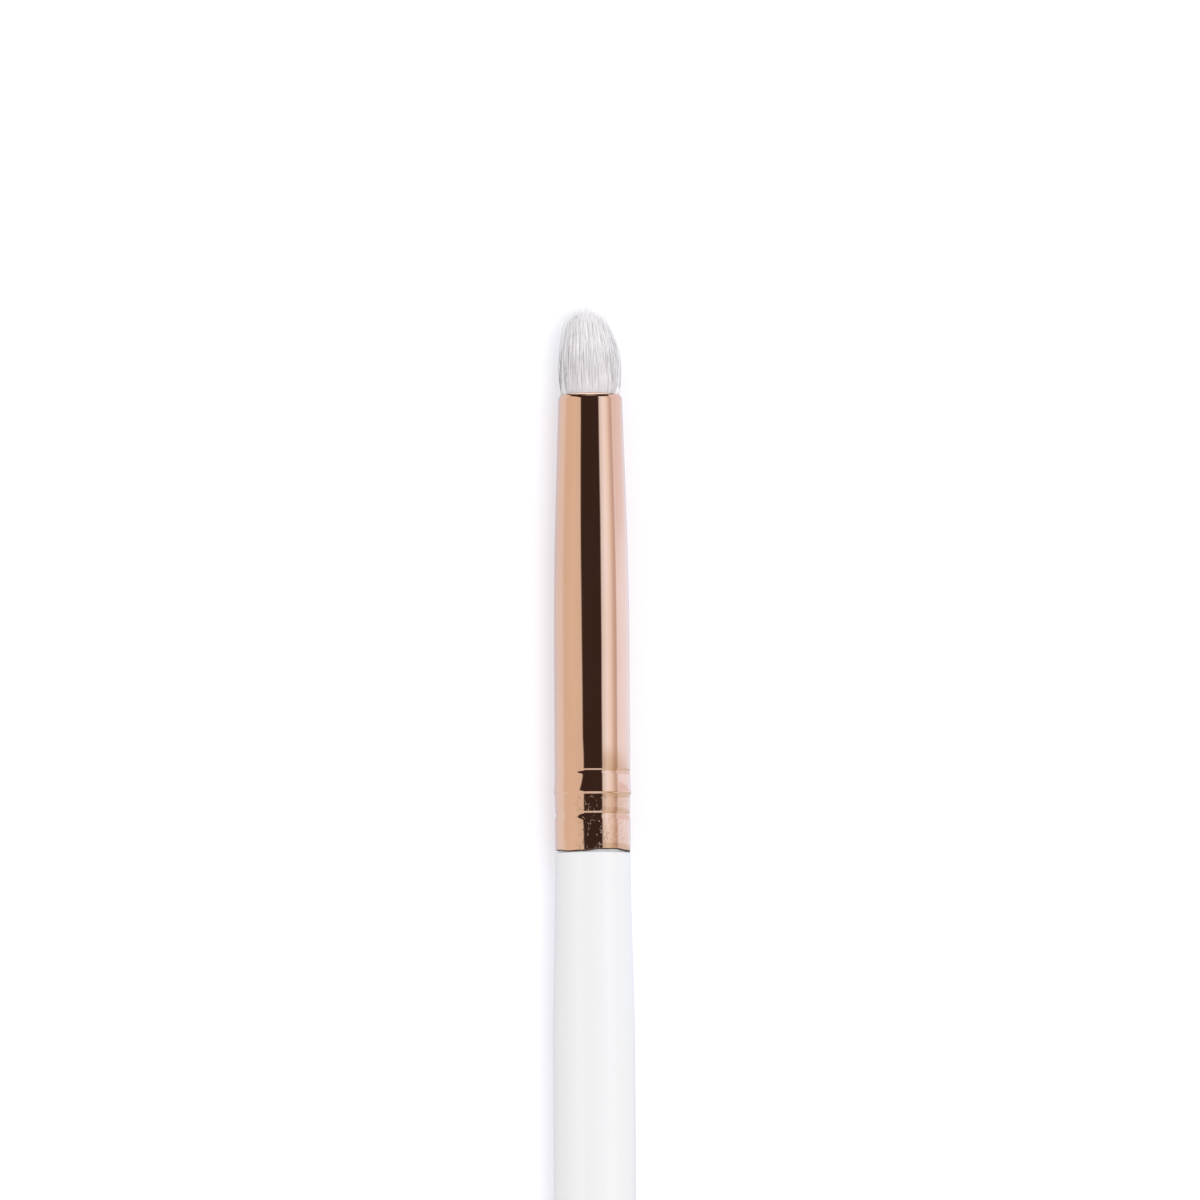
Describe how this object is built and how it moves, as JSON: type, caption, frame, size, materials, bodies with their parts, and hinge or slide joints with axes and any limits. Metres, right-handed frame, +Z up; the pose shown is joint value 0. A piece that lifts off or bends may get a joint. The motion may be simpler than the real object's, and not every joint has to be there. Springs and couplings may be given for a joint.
{
  "type": "eyeshadow brush",
  "caption": "Slim eyeshadow brush with a domed white filament tuft, a crimped rose-gold ferrule and a tapered white lacquered handle.",
  "frame": {"origin": "on the brush's axis at the middle of the handle's grip, where a hand or a stand holds it", "axes": "+Y along the brush towards the tuft, +Z up as the brush lies level, +X to the right seen from above with the tuft up"},
  "size_m": [0.0072, 0.17, 0.0072],
  "materials": {
    "filament": "fine matt synthetic filament, off-white",
    "thread": "waxed cotton",
    "resin": "cured amber resin",
    "rose_gold": "polished, rose-gold coloured",
    "wood_glue": "cured adhesive",
    "white_lacquer": "turned wood under gloss white lacquer"
  },
  "bodies": {
    "root": {"bristle_tuft": "filament", "binding_thread": "thread", "glue_plug": "resin", "ferrule": "rose_gold", "tenon_glue": "wood_glue", "handle": "white_lacquer"}
  },
  "joints": []
}
